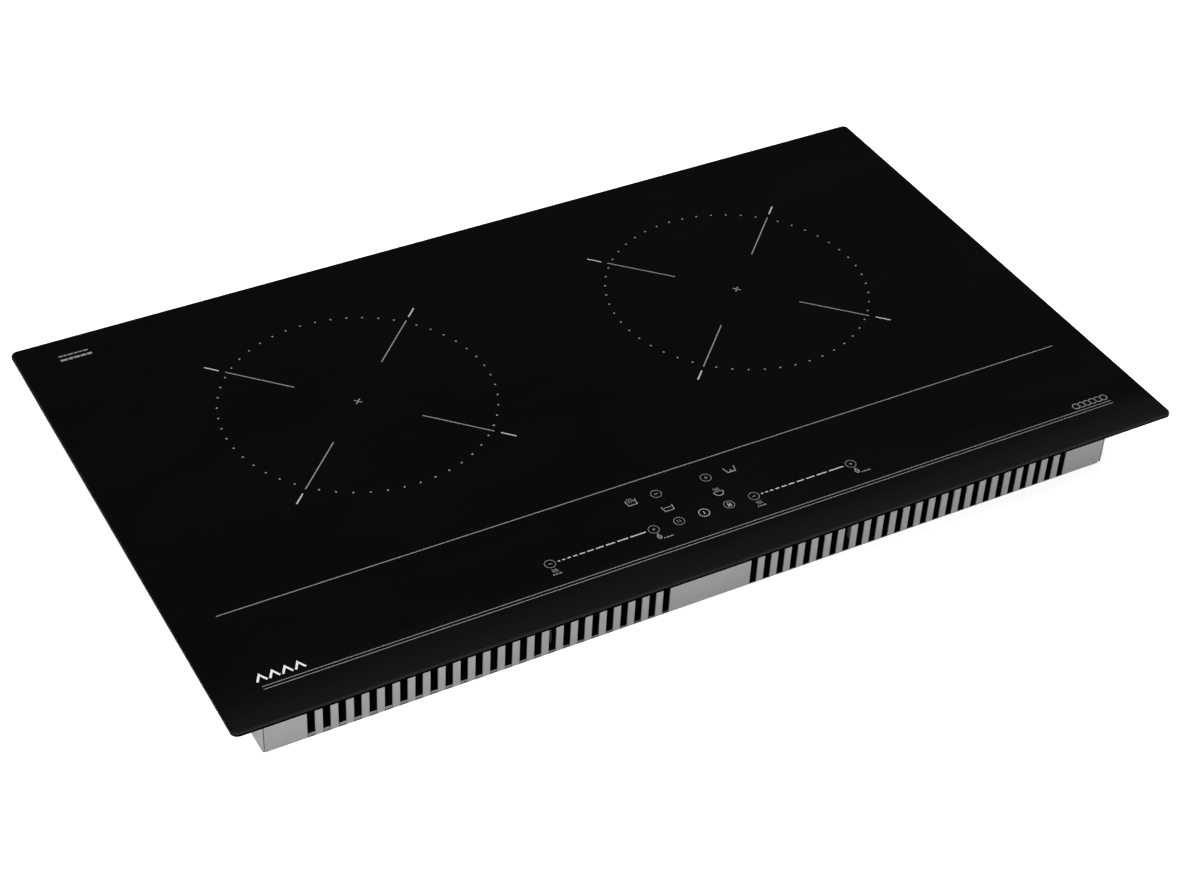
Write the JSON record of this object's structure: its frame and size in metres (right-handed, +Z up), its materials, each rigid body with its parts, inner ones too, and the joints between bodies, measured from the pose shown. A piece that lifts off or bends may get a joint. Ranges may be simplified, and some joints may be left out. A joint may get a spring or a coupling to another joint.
{
  "type": "electric induction cooktop",
  "caption": "Built-in induction hob: black glass-ceramic plate with two printed zones and a touch panel, on a slotted steel casing that drops into a worktop cut-out.",
  "frame": {"origin": "middle of the casing's underside, which is the lowest face", "axes": "+X to the user's right, +Y to the back of the worktop, +Z up through the glass"},
  "size_m": [0.73, 0.43, 0.059],
  "materials": {
    "glass": "polished black glass-ceramic",
    "foam": "closed-cell foam",
    "casing_steel": "galvanised, faint grain",
    "bracket_steel": "galvanised",
    "spring_steel": "bright spring steel",
    "screw_zinc": "zinc plated",
    "brass": "machined",
    "aluminium": "mill finish",
    "heat_sink_aluminium": "extruded",
    "copper_litz": "lacquered stranded wire",
    "former_plastic": "moulded, heat resistant",
    "ferrite": "sintered",
    "mica": "pressed sheet",
    "fibre_felt": "fibre felt",
    "silicone": "moulded",
    "board_green": "solder mask",
    "component_black": "moulded",
    "capacitor_yellow": "film capacitor box",
    "relay_blue": "moulded",
    "fan_plastic": "moulded",
    "guide_plastic": "moulded",
    "terminal_plastic": "moulded",
    "block_white": "moulded",
    "lead_insulation": "insulated lead",
    "ribbon_grey": "flat ribbon",
    "plate_foil": "printed foil, left blank"
  },
  "bodies": {
    "hob": {"air_guides": "guide_plastic", "base_casing": "casing_steel", "board_capacitors": "capacitor_yellow", "board_screws": "screw_zinc", "buzzer": "component_black", "casing_screws": "screw_zinc", "clamp_screws": "screw_zinc", "clip_bases": "spring_steel", "clip_screws": "screw_zinc", "coil_buffers": "silicone", "coil_deck": "aluminium", "coil_former_left": "former_plastic", "coil_former_right": "former_plastic", "coil_leads": "lead_insulation", "coil_winding_left": "copper_litz", "coil_winding_right": "copper_litz", "cord_bushing": "terminal_plastic", "cord_clamp": "terminal_plastic", "deck_screws": "screw_zinc", "digit_displays": "component_black", "fan_housing_left": "fan_plastic", "fan_housing_right": "fan_plastic", "fan_stators": "component_black", "ferrite_bars": "ferrite", "filter_board": "board_green", "filter_capacitors": "capacitor_yellow", "filter_choke": "copper_litz", "floor_screws": "screw_zinc", "fuse": "silicone", "glass_brackets": "bracket_steel", "glass_sensors": "silicone", "glass_top": "glass", "heat_sink_left": "heat_sink_aluminium", "heat_sink_right": "heat_sink_aluminium", "insulation_pads": "fibre_felt", "mains_leads": "lead_insulation", "mica_discs": "mica", "power_board_left": "board_green", "power_board_right": "board_green", "power_transistors": "component_black", "rating_plate": "plate_foil", "relays": "relay_blue", "ribbon_cable": "ribbon_grey", "rim_seal": "foam", "standoffs": "bracket_steel", "terminal_block": "block_white", "terminal_box": "terminal_plastic", "terminal_screws": "brass", "touch_board": "board_green", "touch_holder": "former_plastic", "touch_springs": "spring_steel"},
    "fan_left": {"fan_rotor_left": "fan_plastic", "fan_shaft_left": "screw_zinc"},
    "clip_left_front": {"clip_leaf_left_front": "spring_steel"},
    "clip_left_back": {"clip_leaf_left_back": "spring_steel"},
    "fan_right": {"fan_rotor_right": "fan_plastic", "fan_shaft_right": "screw_zinc"},
    "clip_right_front": {"clip_leaf_right_front": "spring_steel"},
    "clip_right_back": {"clip_leaf_right_back": "spring_steel"},
    "cover": {"terminal_cover": "terminal_plastic"}
  },
  "joints": [
    {"name": "fan_left_spin", "type": "hinge", "parent": "hob", "child": "fan_left", "pos_m": [-0.215, 0.108, 0.0135], "axis": [0, 0, 1], "continuous": true},
    {"name": "fan_right_spin", "type": "hinge", "parent": "hob", "child": "fan_right", "pos_m": [0.215, 0.108, 0.0135], "axis": [0, 0, 1], "continuous": true},
    {"name": "clip_left_front_flex", "type": "hinge", "parent": "hob", "child": "clip_left_front", "pos_m": [-0.3376, -0.13, 0.0122], "axis": [0, 1, 0], "range_deg": [0, 10], "stiffness_Nm_per_rad": 1.2},
    {"name": "clip_left_back_flex", "type": "hinge", "parent": "hob", "child": "clip_left_back", "pos_m": [-0.3376, 0.13, 0.0122], "axis": [0, 1, 0], "range_deg": [0, 10], "stiffness_Nm_per_rad": 1.2},
    {"name": "clip_right_front_flex", "type": "hinge", "parent": "hob", "child": "clip_right_front", "pos_m": [0.3376, -0.13, 0.0122], "axis": [0, -1, 0], "range_deg": [0, 10], "stiffness_Nm_per_rad": 1.2},
    {"name": "clip_right_back_flex", "type": "hinge", "parent": "hob", "child": "clip_right_back", "pos_m": [0.3376, 0.13, 0.0122], "axis": [0, -1, 0], "range_deg": [0, 10], "stiffness_Nm_per_rad": 1.2},
    {"name": "cover_hinge", "type": "hinge", "parent": "hob", "child": "cover", "pos_m": [0, 0.1273, 0.00175], "axis": [-1, 0, 0], "range_deg": [0, 100]}
  ]
}
